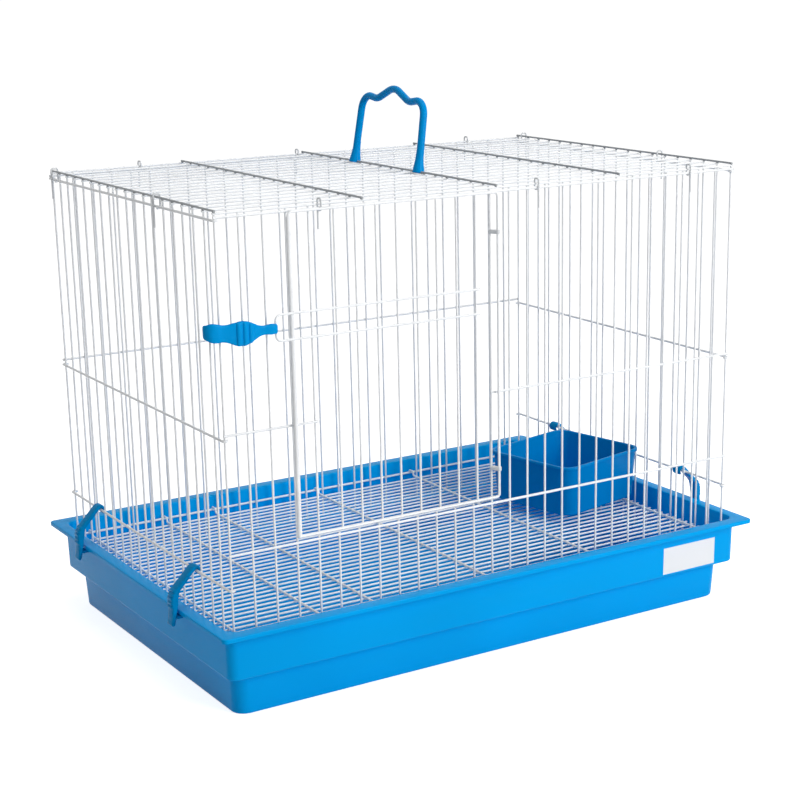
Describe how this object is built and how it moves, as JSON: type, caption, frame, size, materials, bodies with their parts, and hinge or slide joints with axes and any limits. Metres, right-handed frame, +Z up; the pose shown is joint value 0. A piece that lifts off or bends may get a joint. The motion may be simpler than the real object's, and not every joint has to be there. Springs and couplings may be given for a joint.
{
  "type": "rabbit cage",
  "caption": "Wire small-animal cage on a stepped plastic tray, with a hinged front door, side clips, slatted wire floor, hook-on feeder and folding top handle.",
  "frame": {"origin": "centre of the tray's underside, on the surface the cage stands on", "axes": "+Z up, +X along the long front from left to right, +Y from the front with the door to the back"},
  "size_m": [0.6172, 0.4148, 0.5271],
  "materials": {
    "tray_plastic": "glossy moulded azure plastic",
    "grille_wire": "semi-gloss white plastic coating",
    "cage_wire": "semi-gloss white plastic coating",
    "hook_wire": "semi-gloss coated spring wire",
    "door_wire": "semi-gloss white plastic coating",
    "strap_metal": "semi-gloss coated strip",
    "latch_plastic": "glossy moulded azure plastic",
    "clip_plastic": "glossy moulded azure plastic",
    "handle_plastic": "glossy moulded azure plastic",
    "retainer_plastic": "glossy white plastic",
    "feeder_plastic": "glossy moulded azure plastic"
  },
  "bodies": {
    "cage": {"tray": "tray_plastic", "floor_grille": "grille_wire", "front_left_bars": "cage_wire", "front_right_bars": "cage_wire", "front_sill": "cage_wire", "front_top_rail": "cage_wire", "back_panel": "cage_wire", "left_panel": "cage_wire", "right_panel": "cage_wire", "top_panel": "cage_wire", "panel_hooks": "hook_wire", "hinge_straps": "strap_metal"},
    "door": {"door": "door_wire", "door_loop": "door_wire"},
    "latch": {"door_latch": "latch_plastic"},
    "clip_front_left": {"clip_front_left": "clip_plastic"},
    "clip_rear_left": {"clip_rear_left": "clip_plastic"},
    "clip_front_right": {"clip_front_right": "clip_plastic"},
    "clip_rear_right": {"clip_rear_right": "clip_plastic"},
    "handle": {"carrying_handle": "handle_plastic", "handle_retainers": "retainer_plastic"},
    "feeder": {"feeder": "feeder_plastic"}
  },
  "joints": [
    {"name": "door_swing", "type": "hinge", "parent": "cage", "child": "door", "pos_m": [-0.00265, -0.18981, 0.3011], "axis": [0, 0, 1], "range_deg": [0, 150]},
    {"name": "latch_swing", "type": "hinge", "parent": "door", "child": "latch", "pos_m": [-0.23065, -0.19219, 0.34735], "axis": [0, 0, 1], "range_deg": [0, 95]},
    {"name": "handle_fold", "type": "hinge", "parent": "cage", "child": "handle", "pos_m": [0, 0.01017, 0.44929], "axis": [0, 1, 0], "range_deg": [-94, 76]},
    {"name": "feeder_lift", "type": "slide", "parent": "cage", "child": "feeder", "axis": [0, 0, 1], "range_m": [0, 0.1]},
    {"name": "clip_front_left_swing", "type": "hinge", "parent": "cage", "child": "clip_front_left", "pos_m": [-0.28084, -0.11186, 0.1201], "axis": [0, 1, 0], "range_deg": [0, 100]},
    {"name": "clip_rear_left_swing", "type": "hinge", "parent": "cage", "child": "clip_rear_left", "pos_m": [-0.28084, 0.11186, 0.1201], "axis": [0, 1, 0], "range_deg": [0, 100]},
    {"name": "clip_front_right_swing", "type": "hinge", "parent": "cage", "child": "clip_front_right", "pos_m": [0.28084, -0.11186, 0.1201], "axis": [0, -1, 0], "range_deg": [0, 100]},
    {"name": "clip_rear_right_swing", "type": "hinge", "parent": "cage", "child": "clip_rear_right", "pos_m": [0.28084, 0.11186, 0.1201], "axis": [0, -1, 0], "range_deg": [0, 100]}
  ]
}
